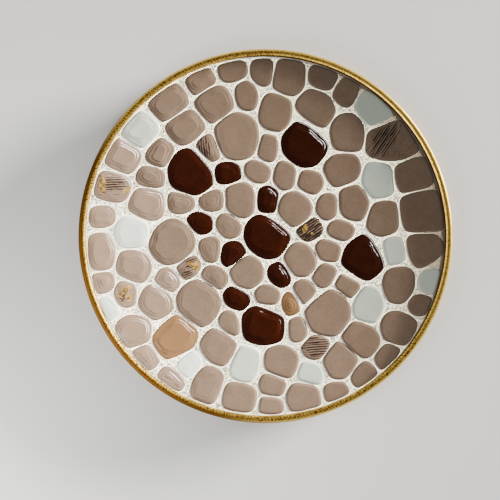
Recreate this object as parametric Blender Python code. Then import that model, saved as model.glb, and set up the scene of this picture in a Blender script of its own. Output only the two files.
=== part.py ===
"""Round mosaic dish: a shallow brass tray with a rolled rim, filled with white grout
and glazed ceramic tiles shaped like pebbles. It lies flat, face up, origin under its middle."""
import math

import bmesh
import bpy
import numpy as np

MM = 0.001

# Tray, pressed from sheet brass, its rim rolled outwards over a wire
DISH_DIAMETER = 300.0 * MM
DISH_HEIGHT = 12.5 * MM
SHEET = 0.8 * MM
RIM_WIDTH = 5.6 * MM
RIM_DEPTH = 4.6 * MM
FLOOR_BEND = 0.8 * MM

# Mosaic, laid on the tray's floor
FIT_GAP = 0.3 * MM
TILE_THICKNESS = 6.1 * MM
TILE_PROUD = 0.9 * MM
TILE_EDGE = 1.5 * MM
TILE_MARGIN = 0.75 * MM
RIM_CUT = 2.7 * MM
GROUT_JOINT = 2.2 * MM

# Fineness of the round shapes
ROUND_STEPS = 60
CREST_STEPS = 6
BEND_STEPS = 2
SIDE_LENGTH = 8.3 * MM
FEWEST_SIDES = 9
MOST_SIDES = 12
WELD = 0.001 * MM

# How a tile takes its form: rays sent out from its middle, the sharpness of the corners of a
# tile of the size given below it, the power of the rounded box that caps it and its spare room,
# which is more for a tile with straight sides of its own, the least cosine between a ray and a
# joint, and how much a bend counts beside length
OUTLINE_RAYS = 96
CORNER_SHARPNESS = 9.0
CORNER_TILE = 22.0
CAP_POWER = 3.4
CAP_SPARE = 1.05
CUT_SPARE = 1.16
LEAST_FACING = 0.25
BEND_SHARE = 2.0

INNER_RADIUS = DISH_DIAMETER / 2 - RIM_WIDTH
BED_RADIUS = INNER_RADIUS - FIT_GAP
BED_CHAMFER = FLOOR_BEND - (2 - math.sqrt(2)) * FIT_GAP
BED_BOTTOM = SHEET + FIT_GAP
TILE_TOP = BED_BOTTOM + TILE_THICKNESS
GROUT_TOP = TILE_TOP - TILE_PROUD

# Glazes; the smallest beige tiles aren't solids of their own but cast in with the grout
BEIGE, WHITE, BROWN, LUSTRE, TAN, CAST = "beige", "white", "brown", "lustre", "tan", "cast"

# Laying plan, drawn in millimetres. It is fitted to the tray by its outermost tile, whose form
# runs RIM_CUT past the wall before the rim cuts it short. Each row: middle x and y, length, width,
# the turn of the length in degrees, glaze, and each straight broken side as the direction that it
# faces in degrees and its distance from the middle
PLAN = [
    (-77, 106.5, 31, 23.5, 38, BEIGE),
    (-51.5, 123.5, 23, 17.5, 30, CAST),
    (-26, 131.5, 24, 16, 8, CAST),
    (-2.5, 131, 21.5, 19.5, 95, CAST),
    (18.8, 127, 29, 27, 80, BEIGE),
    (45.5, 126.5, 24, 17.5, -20, CAST),
    (64.5, 115, 22, 19, 68, CAST),
    (85.8, 101.5, 30, 23, -45, WHITE),
    (101, 76, 40, 33.5, 2, LUSTRE, (32, 15.4), (-90, 15.8), (111, 13.9)),
    (-100, 84.3, 28, 24.5, 45, WHITE),
    (-113.3, 63.5, 27.5, 25.5, -30, CAST),
    (-122, 39.5, 29, 23, -6, LUSTRE),
    (-130.5, 15.5, 21, 16.5, 5, CAST),
    (-131, -13, 30.5, 21.5, 92, CAST),
    (-130, -37.3, 20, 17, 14, CAST),
    (-126, -57.5, 19, 16, -60, WHITE),
    (-105, -75.5, 27.5, 25.5, 5, CAST, (90, 12.2)),
    (-95.5, -97, 21, 17, -50, CAST),
    (-75.5, -114.8, 22, 15.5, -33, CAST),
    (-47, -119, 30, 23, 68, CAST),
    (-20.5, -129, 28, 23, -5, CAST),
    (4.4, -135.5, 20.5, 15, -8, CAST),
    (30, -129, 29.5, 23, 5, CAST),
    (56, -124.5, 21, 15, 12, CAST),
    (78.5, -111, 22, 17.5, 45, CAST),
    (97, -96, 23, 16, 48, CAST),
    (106.3, -74, 29, 26.5, -5, BEIGE),
    (124, -55, 20, 17, 5, CAST),
    (131.8, -36, 21.5, 18, 68, WHITE),
    (127.5, -11.3, 30, 26.5, -48, BEIGE, (-52, 10.9)),
    (125.4, 19.2, 35.5, 34.5, 5, BEIGE),
    (118, 48.5, 29.5, 26, 15, BEIGE),
    (90, 44.5, 29, 25.5, 90, WHITE),
    (-64, 87, 30, 25, 25, BEIGE),
    (-40.7, 106, 29.5, 27.5, 33, BEIGE),
    (-15, 112.5, 24, 18, 95, CAST),
    (-22.7, 79.8, 39, 35.5, 97, BEIGE),
    (8, 99, 30.5, 26, 82, BEIGE),
    (40, 102, 30.5, 28, -40, BEIGE, (-131, 11.1)),
    (65.7, 82.4, 31, 27, 95, BEIGE),
    (2, 70.5, 22.5, 16, 85, CAST),
    (-45.5, 70, 22, 16.5, -65, LUSTRE),
    (-60, 50.5, 39, 35, -46, BROWN, (41, 14)),
    (-30, 50.5, 22.5, 18, 0, BROWN),
    (-6.5, 51.5, 22.5, 17, -20, CAST),
    (15.5, 48, 24, 18.5, 80, CAST),
    (36, 43.5, 21, 18, -20, CAST),
    (61.7, 53.5, 29.5, 25.5, 25, BEIGE),
    (70.8, 26.6, 28.5, 25, 92, CAST),
    (23.3, 22, 29.5, 26.5, -40, BEIGE),
    (49.5, 23, 22.5, 17.5, 75, CAST),
    (60, 5, 22, 16, -15, CAST),
    (36.3, 5.5, 21.5, 17, 35, LUSTRE),
    (94.5, 14, 29, 25, 80, BEIGE),
    (-84.5, 65.8, 23.5, 19.5, 50, CAST),
    (-92, 47.5, 22.5, 17.5, -8, CAST),
    (-94.5, 26, 28.5, 25, -10, CAST),
    (-67.5, 26.7, 22.5, 17, -3, CAST),
    (-43, 28.2, 21.5, 17, 10, CAST),
    (-20.2, 29, 29.5, 25.5, 95, BEIGE),
    (-29.5, 8, 22, 18, -45, CAST),
    (2.4, 29.2, 23, 18.5, 80, BROWN),
    (-52.5, 10.5, 21.5, 17.5, -20, BROWN),
    (1, 0, 37, 34.5, -33, BROWN, (54, 12.9)),
    (31.3, 73, 37, 34.5, -43, BROWN, (46, 14.3), (-35, 18)),
    (-107.5, 3, 27, 25, 0, WHITE),
    (-74.5, -5.3, 37.5, 34, 45, BEIGE),
    (-105.5, -24, 28, 25, -20, CAST),
    (-77.5, -35, 20, 18, -38, CAST),
    (-61.5, -25.5, 21, 16, 38, LUSTRE),
    (-44, -11.2, 21.5, 18, 100, CAST),
    (-27, -14.3, 22.5, 19.5, 35, BROWN),
    (-40.7, -33, 22.5, 18.5, -35, CAST),
    (-14.8, -29.3, 28, 26.5, 30, BEIGE),
    (-23.5, -49.5, 21.5, 17.5, -25, BROWN, (60, 7.2)),
    (-53.5, -53, 37, 35, -45, BEIGE),
    (-112.3, -46.2, 21, 18.5, 95, LUSTRE),
    (-87.7, -53.3, 28, 25.5, -40, BEIGE),
    (-73, -80.7, 36, 33.5, 40, TAN, (132, 13.2), (-68, 14.8)),
    (-60.5, -102.5, 21, 16, 50, WHITE),
    (-38, -89, 28, 27, -40, BEIGE),
    (-29, -70, 21, 16, -70, CAST),
    (-1.4, -71.8, 36.5, 32.5, -18, BROWN, (68, 12.6), (-9, 16.9), (-87, 15.6)),
    (2, -47, 21.5, 16.5, -3, CAST),
    (11, -32, 21, 17, -60, BROWN),
    (28.6, -19.3, 29, 25, -60, BEIGE),
    (50, -12, 21.5, 17.5, -20, CAST),
    (46.7, -32, 22.5, 17.5, 52, CAST),
    (32.3, -44.5, 22, 18.5, -50, CAST),
    (20, -54.5, 19.5, 14, -75, TAN),
    (49.7, -61.3, 39.5, 36, 50, BEIGE, (131, 13.6)),
    (65.8, -40.2, 20.5, 18, -30, CAST),
    (78.5, -18.5, 37, 34, 50, BROWN, (31, 13.9), (-124, 13.8), (-53, 17.2)),
    (102.5, -12, 22, 18.5, 98, WHITE),
    (106.7, -39, 29.5, 25.5, 80, BEIGE),
    (82.5, -55, 29.5, 25, 75, WHITE),
    (77, -83, 30.5, 27, -40, BEIGE),
    (60, -100.3, 29.5, 26.5, 48, BEIGE),
    (40.2, -88.9, 22.5, 18.5, 40, LUSTRE),
    (26, -74.5, 20.5, 16, 95, CAST),
    (12.7, -100.4, 28.5, 25.5, -20, BEIGE),
    (36.5, -110, 22, 18, -20, WHITE),
    (5.5, -119.8, 22, 18, -15, CAST),
    (-15.5, -103, 29, 23, 75, WHITE),
]

# Base colour, roughness and metallic value of each material
FINISHES = {
    "brass": ((0.58, 0.36, 0.11), 0.28, 1.0),
    "grout": ((0.80, 0.77, 0.70), 0.90, 0.0),
    BEIGE: ((0.45, 0.32, 0.24), 0.25, 0.0),
    WHITE: ((0.63, 0.65, 0.60), 0.18, 0.0),
    BROWN: ((0.035, 0.008, 0.003), 0.10, 0.0),
    LUSTRE: ((0.38, 0.26, 0.15), 0.15, 0.3),
    TAN: ((0.54, 0.34, 0.18), 0.22, 0.0),
}


class Tile:
    """One tile of the plan: its middle, and an ellipse that says how much room it takes."""

    def __init__(self, x, y, length, width, turn, glaze, *cuts):
        self.middle = np.array([x, y], float)
        self.length = length
        self.width = width
        self.turn = math.radians(turn)
        self.glaze = glaze
        self.size = math.sqrt(length * width)
        self.weight = length * width / 4
        self.cuts = cuts
        cos, sin = math.cos(self.turn), math.sin(self.turn)
        axes = np.array([[cos, sin], [-sin, cos]])
        self.ellipse = axes.T @ np.diag([4 / length ** 2, 4 / width ** 2]) @ axes

    def reach(self):
        """How far from the plan's middle the tile's ellipse comes."""
        distance = np.linalg.norm(self.middle)
        outward = self.middle / distance
        return distance + math.sqrt(outward @ np.linalg.inv(self.ellipse) @ outward)


def cap_reach(tile, angles):
    """One over the distance to the tile's own rounded box, along each ray."""
    lengthwise = np.abs(np.cos(angles - tile.turn)) * 2 / tile.length
    crosswise = np.abs(np.sin(angles - tile.turn)) * 2 / tile.width
    box = (lengthwise ** CAP_POWER + crosswise ** CAP_POWER) ** (1 / CAP_POWER)
    return box / (CUT_SPARE if tile.cuts else CAP_SPARE)


def cut_reach(cut, angles):
    """One over the distance to a straight broken side, zero where a ray leads away from it."""
    turn, distance = cut
    return np.maximum(np.cos(angles - math.radians(turn)), 0) / distance


def rim_reach(tile, rays, limit):
    """One over the distance to the circle that the outer tiles are laid along."""
    outward = rays @ tile.middle
    distance = -outward + np.sqrt(outward ** 2 + limit ** 2 - tile.middle @ tile.middle)
    return 1 / distance


def neighbour_reach(tile, other, rays, limit, joint):
    """One over the distance to the joint that the tile shares with another, zero where none is met.

    The joint's middle line is where both tiles have the same power, weight * (ellipse - 1)."""
    between = tile.middle - other.middle
    squared = np.einsum("ni,ij,nj->n", rays, tile.ellipse, rays) * tile.weight
    squared -= np.einsum("ni,ij,nj->n", rays, other.ellipse, rays) * other.weight
    linear = other.weight * (rays @ (other.ellipse @ between))
    constant = other.weight * (between @ other.ellipse @ between - 1) + tile.weight
    root = linear ** 2 + constant * squared
    inverse = (np.sqrt(np.maximum(root, 0)) - linear) / constant
    met = (root > 0) & (inverse > 1 / limit)
    distance = 1 / np.where(met, inverse, 1 / limit)
    points = tile.middle + rays * distance[:, None]
    slope = tile.weight * (points - tile.middle) @ tile.ellipse
    slope -= other.weight * (points - other.middle) @ other.ellipse
    facing = np.sum(slope * rays, axis=1) / np.linalg.norm(slope, axis=1)
    distance = distance - joint / 2 / np.maximum(facing, LEAST_FACING)
    return np.where(met & (distance > 0), 1 / distance, 0)


def outline(tile, others, limit, joint):
    """A tile's outline: the nearest of its limits along each ray, blended into round corners."""
    angles = np.arange(OUTLINE_RAYS) * 2 * math.pi / OUTLINE_RAYS
    rays = np.stack([np.cos(angles), np.sin(angles)], axis=1)
    reaches = [cap_reach(tile, angles), rim_reach(tile, rays, limit)]
    reaches += [cut_reach(cut, angles) for cut in tile.cuts]
    reaches += [neighbour_reach(tile, other, rays, limit, joint) for other in others]
    sharpness = CORNER_SHARPNESS * tile.size / CORNER_TILE
    nearest = np.sum(np.array(reaches) ** sharpness, axis=0) ** (1 / sharpness)
    return tile.middle + rays / nearest[:, None]


def thinned(points):
    """The same outline with few points, most of them where it turns most."""
    steps = np.roll(points, -1, axis=0) - points
    lengths = np.linalg.norm(steps, axis=1)
    headings = np.arctan2(steps[:, 1], steps[:, 0])
    bends = np.abs((headings - np.roll(headings, 1) + math.pi) % (2 * math.pi) - math.pi)
    shared = (bends + np.roll(bends, -1)) / 2
    run = np.cumsum(lengths / lengths.sum() + BEND_SHARE * shared / shared.sum())
    run = np.concatenate([[0], run])
    sides = round(lengths.sum() / SIDE_LENGTH)
    sides = min(max(sides, FEWEST_SIDES), MOST_SIDES)
    wanted = np.arange(sides) * run[-1] / sides
    closed = np.vstack([points, points[:1]])
    return np.stack([np.interp(wanted, run, closed[:, axis]) for axis in (0, 1)], axis=1)


def grown(points, distance):
    """A closed outline with each side moved outwards by a distance."""
    steps = np.roll(points, -1, axis=0) - points
    steps /= np.linalg.norm(steps, axis=1)[:, None]
    normals = np.stack([steps[:, 1], -steps[:, 0]], axis=1)
    before = np.roll(normals, 1, axis=0)
    share = 1 + np.sum(normals * before, axis=1)
    return points + (normals + before) * (distance / share)[:, None]


def lay(tiles):
    """Gives every tile of the plan its outline, in metres."""
    scale = (INNER_RADIUS + RIM_CUT) / max(tile.reach() for tile in tiles)
    limit = (BED_RADIUS - BED_CHAMFER - TILE_MARGIN) / scale
    joint = GROUT_JOINT / scale
    for tile in tiles:
        others = [other for other in tiles if other is not tile]
        tile.points = thinned(outline(tile, others, limit, joint) * scale)


def ring(bm, points, height):
    return [bm.verts.new((x, y, height)) for x, y in points]


def loop_edges(bm, verts):
    return [bm.edges.get(pair) or bm.edges.new(pair) for pair in zip(verts, verts[1:] + verts[:1])]


def bridge(bm, lower, upper):
    bmesh.ops.bridge_loops(bm, edges=loop_edges(bm, lower) + loop_edges(bm, upper))


def plate(bm, edge, holes):
    """Flat faces that fill an edge loop round the holes in it."""
    edges = [side for loop in [edge, *holes] for side in loop_edges(bm, loop)]
    bmesh.ops.triangle_fill(bm, use_beauty=True, edges=edges, normal=(0, 0, 1))


def circle(radius):
    angles = np.arange(ROUND_STEPS) * 2 * math.pi / ROUND_STEPS
    return np.stack([np.cos(angles), np.sin(angles)], axis=1) * radius


def arc(x, z, half_width, half_height, start, end, steps):
    """Points of an elliptic arc, from one angle in degrees to another."""
    angles = [math.radians(start + (end - start) * i / steps) for i in range(steps + 1)]
    return [(x + half_width * math.cos(a), z + half_height * math.sin(a)) for a in angles]


def add_object(name, bm, finish):
    bmesh.ops.recalc_face_normals(bm, faces=bm.faces)
    mesh = bpy.data.meshes.new(name)
    bm.to_mesh(mesh)
    bm.free()
    mesh.materials.append(material(finish))
    piece = bpy.data.objects.new(name, mesh)
    bpy.context.scene.collection.objects.link(piece)
    return piece


def material(finish):
    found = bpy.data.materials.get(finish)
    if found:
        return found
    colour, roughness, metallic = FINISHES[finish]
    made = bpy.data.materials.new(finish)
    made.use_nodes = True
    shader = made.node_tree.nodes["Principled BSDF"]
    shader.inputs["Base Color"].default_value = (*colour, 1)
    shader.inputs["Roughness"].default_value = roughness
    shader.inputs["Metallic"].default_value = metallic
    return made


def tray_profile():
    """Radius and height along the tray's section, from its underside out over the rim to its floor."""
    outer_bend = FLOOR_BEND + SHEET
    wall = INNER_RADIUS + SHEET
    under = arc(wall - outer_bend, outer_bend, outer_bend, outer_bend, -90, 0, BEND_STEPS)
    half = RIM_WIDTH / 2
    meets_wall = math.degrees(math.acos((SHEET - half) / half))
    bead = (INNER_RADIUS + half, DISH_HEIGHT - RIM_DEPTH / 2, half, RIM_DEPTH / 2)
    lip = arc(*bead, -meets_wall, 0, BEND_STEPS)[:-1]
    crest = arc(*bead, 0, 180, CREST_STEPS)
    inside = [(INNER_RADIUS, SHEET + FLOOR_BEND), (INNER_RADIUS - FLOOR_BEND, SHEET)]
    return [(0, 0), *under, *lip, *crest, *inside, (0, SHEET)]


def add_tray():
    bm = bmesh.new()
    section = [bm.verts.new((radius, 0, height)) for radius, height in tray_profile()]
    edges = [bm.edges.new(pair) for pair in zip(section, section[1:])]
    bmesh.ops.spin(bm, geom=section + edges, cent=(0, 0, 0), axis=(0, 0, 1), angle=2 * math.pi,
                   steps=ROUND_STEPS, use_merge=True)
    bmesh.ops.remove_doubles(bm, verts=bm.verts, dist=WELD)
    tray = add_object("brass_tray", bm, "brass")
    tray.data.shade_smooth()
    tray.data.set_sharp_from_angle(angle=math.radians(50))


def raise_crowns(bm, shoulders):
    """The part of each tile above the grout: its sloped edge and its flat top."""
    tops = [bm.faces.new(shoulder) for shoulder in shoulders]
    bm.normal_update()
    bmesh.ops.inset_individual(bm, faces=tops, thickness=TILE_EDGE, depth=TILE_PROUD,
                               use_even_offset=True)


def add_tile(name, tile):
    bm = bmesh.new()
    foot = ring(bm, tile.points, BED_BOTTOM)
    shoulder = ring(bm, tile.points, GROUT_TOP)
    bm.faces.new(foot)
    bridge(bm, foot, shoulder)
    raise_crowns(bm, [shoulder])
    add_object(name, bm, tile.glaze)


def add_bed(own, cast_in):
    """The grout: a pocket right through for each tile of its own, the rest of the tiles cast in."""
    bm = bmesh.new()
    foot = ring(bm, circle(BED_RADIUS - BED_CHAMFER), BED_BOTTOM)
    heel = ring(bm, circle(BED_RADIUS), BED_BOTTOM + BED_CHAMFER)
    top = ring(bm, circle(BED_RADIUS), GROUT_TOP)
    bridge(bm, foot, heel)
    bridge(bm, heel, top)
    pockets = [grown(tile.points, FIT_GAP) for tile in own]
    lower = [ring(bm, points, BED_BOTTOM) for points in pockets]
    upper = [ring(bm, points, GROUT_TOP) for points in pockets]
    for below, above in zip(lower, upper):
        bridge(bm, below, above)
    shoulders = [ring(bm, tile.points, GROUT_TOP) for tile in cast_in]
    plate(bm, foot, lower)
    plate(bm, top, upper + shoulders)
    raise_crowns(bm, shoulders)
    add_object("grout_bed", bm, "grout")


def main():
    for old in list(bpy.data.objects):
        bpy.data.objects.remove(old, do_unlink=True)
    tiles = [Tile(*row) for row in PLAN]
    lay(tiles)
    own = [tile for tile in tiles if tile.glaze != CAST]
    add_tray()
    add_bed(own, [tile for tile in tiles if tile.glaze == CAST])
    for glaze in (BEIGE, WHITE, BROWN, LUSTRE, TAN):
        alike = [tile for tile in own if tile.glaze == glaze]
        for number, tile in enumerate(alike, start=1):
            add_tile(f"tile_{glaze}_{number:02d}", tile)


main()
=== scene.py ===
"""Dresses a round mosaic dish: its brass tray with a knurled rim, the rough white grout
and the glazed pebble tiles, on a pale studio floor."""

import math

import bmesh
import bpy
import numpy as np
from bpy.props import FloatProperty, FloatVectorProperty, IntProperty, PointerProperty
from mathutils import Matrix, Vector, noise


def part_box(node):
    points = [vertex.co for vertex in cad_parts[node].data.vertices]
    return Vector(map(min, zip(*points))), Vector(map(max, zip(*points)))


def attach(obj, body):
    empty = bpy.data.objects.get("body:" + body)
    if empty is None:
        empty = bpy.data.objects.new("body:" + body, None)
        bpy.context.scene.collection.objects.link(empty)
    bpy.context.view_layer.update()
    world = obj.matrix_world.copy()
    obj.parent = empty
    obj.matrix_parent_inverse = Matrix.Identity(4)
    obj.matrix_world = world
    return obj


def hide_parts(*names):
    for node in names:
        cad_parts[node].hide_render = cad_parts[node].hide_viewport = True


bl_info = {
    "name": "Mosaic Dish",
    "version": (1, 0, 0),
    "blender": (4, 5, 0),
    "location": "3D View > Sidebar > Mosaic",
    "description": "Makes a brass dish filled with grout and glazed pebble tiles",
    "category": "Add Mesh",
}

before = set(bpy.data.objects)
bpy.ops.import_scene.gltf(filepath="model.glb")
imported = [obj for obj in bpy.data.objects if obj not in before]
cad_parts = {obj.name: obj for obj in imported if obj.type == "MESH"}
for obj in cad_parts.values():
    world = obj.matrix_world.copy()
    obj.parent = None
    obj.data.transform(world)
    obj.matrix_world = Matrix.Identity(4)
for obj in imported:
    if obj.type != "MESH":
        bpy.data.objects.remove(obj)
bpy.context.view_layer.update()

MM = 0.001
ROOT = "root"
TRAY_NODE = "brass_tray"
BED_NODE = "grout_bed"
TILE_PREFIX = "tile_"

# How far the tiles and the grout rise from the flat middle of the dish to its rim
DISHED = 2.8 * MM
FLAT_MIDDLE = 40.0 * MM

# Sizes read from the solids; the gap is the one that the solids keep between neighbours
FIT_GAP = 0.3 * MM
DISH_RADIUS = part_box(TRAY_NODE)[1].x
DISH_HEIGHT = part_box(TRAY_NODE)[1].z
BED_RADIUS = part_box(BED_NODE)[1].x
BED_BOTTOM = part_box(BED_NODE)[0].z
TILE_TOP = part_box(BED_NODE)[1].z
INNER_RADIUS = BED_RADIUS + FIT_GAP
SHEET = BED_BOTTOM - FIT_GAP
SAME_HEIGHT = 0.05 * MM
WELD = 0.001 * MM

# The outlines are redrawn with this many points where the grout is fitted round them
OUTLINE_POINTS = 128


def length(name, description, default):
    return FloatProperty(name=name, description=description, default=default, unit="LENGTH", precision=5)


def share(name, description, default):
    return FloatProperty(name=name, description=description, default=default, min=0, max=1, subtype="FACTOR")


def colour(name, description, default):
    return FloatVectorProperty(name=name, description=description, default=default, size=3, min=0, max=1,
                               subtype="COLOR")


def angle(name, description, degrees):
    return FloatProperty(name=name, description=description, default=math.radians(degrees), subtype="ANGLE")


def power(name, description, watts):
    return FloatProperty(name=name, description=description, default=watts, min=0, unit="POWER")


class TrayLook(bpy.types.PropertyGroup):
    brass: colour("Brass", "Colour of the polished metal", (0.90, 0.58, 0.11))
    # Tarnish in the rim's hollows, and also the colour of painted shade on the rim
    tarnish_and_shade: colour("Tarnish_and_shade", "Colour of the metal in its hollows", (0.10, 0.042, 0.006))
    rim_depth: length("Rim depth", "Height of the rolled rim's section", 4.6 * MM)
    floor_bend: length("Floor bend", "Inner radius between floor and wall", 0.8 * MM)
    knurl_count: IntProperty(name="Knurls", description="Knurls round the rim", default=352, min=24)
    knurl_depth: length("Knurl depth", "How deep the knurling is pressed", 0.26 * MM)
    roughness: share("Roughness", "Roughness of the clean metal", 0.34)


class GroutLook(bpy.types.PropertyGroup):
    paste: colour("Grout", "Colour of the clean grout", (0.96, 0.88, 0.70))
    # Painted shade of the rough pits and grain in the wide joints
    pit_shade: colour("Shaded grout", "Colour of the pits and wide joints", (0.12, 0.13, 0.12))
    # Painted shadow of the right-hand wall on the grout
    wall_shadow: colour("Shadow", "Colour of the grout by the wall on the right", (0.13, 0.10, 0.075))
    pit_depth: length("Pit depth", "Depth of the pits in wide joints", 0.05 * MM)
    sag: length("Sag", "How far wide joints sink below the tiles' edges", 0.10 * MM)
    recess: length("Recess", "How far the grout lies below the tiles' edges", 0.10 * MM)


class TileLook(bpy.types.PropertyGroup):
    beige: colour("Beige glaze", "Colour of the beige tiles", (0.150, 0.102, 0.070))
    white: colour("White glaze", "Colour of the white tiles", (0.42, 0.46, 0.38))
    brown: colour("Brown glaze", "Colour of the dark brown tiles", (0.0150, 0.0030, 0.0010))
    tan: colour("Tan glaze", "Colour of the tan tiles", (0.118, 0.063, 0.028))
    gold: colour("Gold lustre", "Colour of the gold splashes", (0.52, 0.32, 0.08))
    spread: length("Spread", "How far the glaze stands out over the solid's sides", 0.7 * MM)
    rounding: length("Rounding", "Width of the tiles' rounded edge", 2.3 * MM)
    pool_start: length("Pool start", "Distance from the edge where the pooled glaze rises", 2.6 * MM)
    pool_width: length("Pool width", "Width of each step of the pooled glaze", 0.9 * MM)
    pool_rise: length("Pool rise", "Height that the pooled glaze adds in the middle of a tile", 0.42 * MM)
    wander: length("Wander", "How far the pooled glaze strays from the tile's outline", 1.6 * MM)
    tilt: angle("Tilt", "Most that a tile lies askew", 0.35)
    around: IntProperty(name="Points", description="Points round each large tile", default=96, min=24)


class StageLook(bpy.types.PropertyGroup):
    floor: colour("Floor", "Colour of the studio floor", (0.46, 0.46, 0.45))
    key_power: power("Key power", "Strength of the low light on the tiles and the grout", 8000.0)
    key_elevation: angle("Key elevation", "Height of the low lights over the floor", 4.5)
    key_azimuth: angle("Key azimuth", "Turn of the low lights from the right", 24.0)
    rim_power: power("Rim power", "Strength of the low light on the tray", 1700.0)
    fill_power: power("Fill power", "Strength of the soft light on the left", 2.8)
    strip_power: power("Strip power", "Strength of the narrow high light on the dark tiles", 12.0)
    gleam_power: power("Gleam power", "Strength of the high light on the left tiles", 24.0)
    window_power: power("Window power", "Strength of the beam on the grout", 4.4)
    world: FloatProperty(name="World", description="Strength of the light from all round", default=0.92)


def evenly(points, count):
    """A closed outline's points spread evenly along it."""
    closed = np.vstack([points, points[:1]])
    run = np.concatenate([[0], np.cumsum(np.linalg.norm(np.diff(closed, axis=0), axis=1))])
    wanted = np.arange(count) * run[-1] / count
    return np.stack([np.interp(wanted, run, closed[:, axis]) for axis in (0, 1)], axis=1)


def smooth_outline(corners, count):
    """A smooth closed curve through the corners (centripetal Catmull-Rom), as evenly spaced points."""
    ahead = np.roll(corners, -1, axis=0) - corners
    step = np.sqrt(np.linalg.norm(ahead, axis=1))[:, None]
    slope = ahead / step
    step_before = np.roll(step, 1, axis=0)
    tangent = (np.roll(slope, 1, axis=0) * step + slope * step_before) / (step + step_before)
    t = np.linspace(0, 1, 16, endpoint=False)[:, None, None]
    curve = (2 * t ** 3 - 3 * t ** 2 + 1) * corners + (t ** 3 - 2 * t ** 2 + t) * step * tangent
    curve = curve + (3 * t ** 2 - 2 * t ** 3) * np.roll(corners, -1, axis=0)
    curve = curve + (t ** 3 - t ** 2) * step * np.roll(tangent, -1, axis=0)
    return evenly(curve.transpose(1, 0, 2).reshape(-1, 2), count)


def spread_outline(corners, count, spread):
    """The smooth outline, grown outwards."""
    outline = smooth_outline(corners, count)
    along = np.roll(outline, -1, axis=0) - np.roll(outline, 1, axis=0)
    outward = np.stack([along[:, 1], -along[:, 0]], axis=1) / np.linalg.norm(along, axis=1)[:, None]
    return outline + spread * outward


def joined_loops(pairs):
    """Chains point pairs into closed loops."""
    beside = {}
    for a, b in pairs:
        beside.setdefault(a, []).append(b)
        beside.setdefault(b, []).append(a)
    loops = []
    while beside:
        start = min(beside)
        loop, before, here = [start], None, start
        while True:
            ways = [other for other in beside[here] if other != before]
            before, here = here, ways[0]
            if here == start:
                break
            loop.append(here)
        for point in loop:
            del beside[point]
        loops.append(loop)
    return loops


def crown_outlines(node):
    """The outlines, at grout level, of the tiles that a node's solid holds."""
    bm = bmesh.new()
    bm.from_mesh(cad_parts[node].data)
    bmesh.ops.remove_doubles(bm, verts=bm.verts, dist=WELD)
    bm.verts.index_update()
    bm.normal_update()
    sloped = {face for face in bm.faces if 0.2 < face.normal.z < 0.97
              and max(vert.co.z for vert in face.verts) > TILE_TOP - SAME_HEIGHT}
    pairs = []
    for edge in bm.edges:
        low = max(vert.co.z for vert in edge.verts) < TILE_TOP - SAME_HEIGHT
        if low and sum(face in sloped for face in edge.link_faces) == 1:
            pairs.append((edge.verts[0].index, edge.verts[1].index))
    bm.verts.ensure_lookup_table()
    outlines = []
    for loop in joined_loops(pairs):
        points = np.array([bm.verts[i].co[:] for i in loop])
        after = np.roll(points, -1, axis=0)
        area = np.sum(points[:, 0] * after[:, 1] - after[:, 0] * points[:, 1])
        outlines.append(points if area > 0 else points[::-1])
    bm.free()
    return outlines


class Tile:
    """A glazed tile: its name, glaze, the node that holds its solid, and its outline."""

    def __init__(self, name, glaze, node, corners, seed):
        self.name = name
        self.glaze = glaze
        self.node = node
        self.shoulder = corners[:, 2].mean()
        self.corners = corners[:, :2]
        self.middle = self.corners.mean(axis=0)
        self.seed = seed


def all_tiles():
    tiles = []
    for node in sorted(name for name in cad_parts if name.startswith(TILE_PREFIX)):
        glaze, number = node[len(TILE_PREFIX):].split("_")
        corners = crown_outlines(node)[0]
        tiles.append(Tile(f"pebble_{glaze}_{number}", glaze, node, corners, len(tiles)))
    small = sorted(crown_outlines(BED_NODE), key=lambda corners: tuple(corners.mean(axis=0)))
    for number, corners in enumerate(small, start=1):
        tiles.append(Tile(f"pebble_small_{number:02d}", "beige", BED_NODE, corners, len(tiles)))
    return tiles


TILES = all_tiles()
SHOULDER = TILES[0].shoulder


def smoothstep(value, low, high):
    t = np.clip((value - low) / (high - low), 0, 1)
    return t * t * (3 - 2 * t)


def dish_rise(points):
    """How far the dish has risen at each point, from nothing in its middle."""
    radius = np.hypot(points[:, 0], points[:, 1])
    return DISHED * np.clip((radius - FLAT_MIDDLE) / (BED_RADIUS - FLAT_MIDDLE), 0, 1) ** 2


def grid_faces(rows, columns):
    """Quads between rows of points that each run once round."""
    first = np.arange(rows - 1)[:, None] * columns
    here = np.arange(columns)
    after = (here + 1) % columns
    quads = np.stack([first + here, first + after, first + columns + after, first + columns + here], axis=-1)
    return quads.reshape(-1, 4).tolist()


def make_piece(name, points, faces, material, nodes):
    """A closed mesh piece that stands for CAD nodes."""
    mesh = bpy.data.meshes.new(name)
    mesh.from_pydata(points.tolist(), [], faces)
    bm = bmesh.new()
    bm.from_mesh(mesh)
    bmesh.ops.recalc_face_normals(bm, faces=bm.faces)
    bm.to_mesh(mesh)
    bm.free()
    mesh.shade_smooth()
    mesh.set_sharp_from_angle(angle=math.radians(60))
    mesh.materials.append(material)
    piece = bpy.data.objects.new(name, mesh)
    bpy.context.scene.collection.objects.link(piece)
    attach(piece, ROOT)
    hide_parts(*nodes)
    return piece


def store(piece, name, values):
    attribute = piece.data.attributes.new(name, "FLOAT", "POINT")
    attribute.data.foreach_set("value", np.asarray(values, np.float32))


# Shader building

def add_node(tree, kind, inputs=None, **settings):
    """A node with its settings, and its inputs given as values or as other nodes' outputs."""
    node = tree.nodes.new(kind)
    for name, value in settings.items():
        setattr(node, name, value)
    for socket, value in (inputs or {}).items():
        if isinstance(value, bpy.types.NodeSocket):
            tree.links.new(value, node.inputs[socket])
        else:
            node.inputs[socket].default_value = value
    return node


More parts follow.
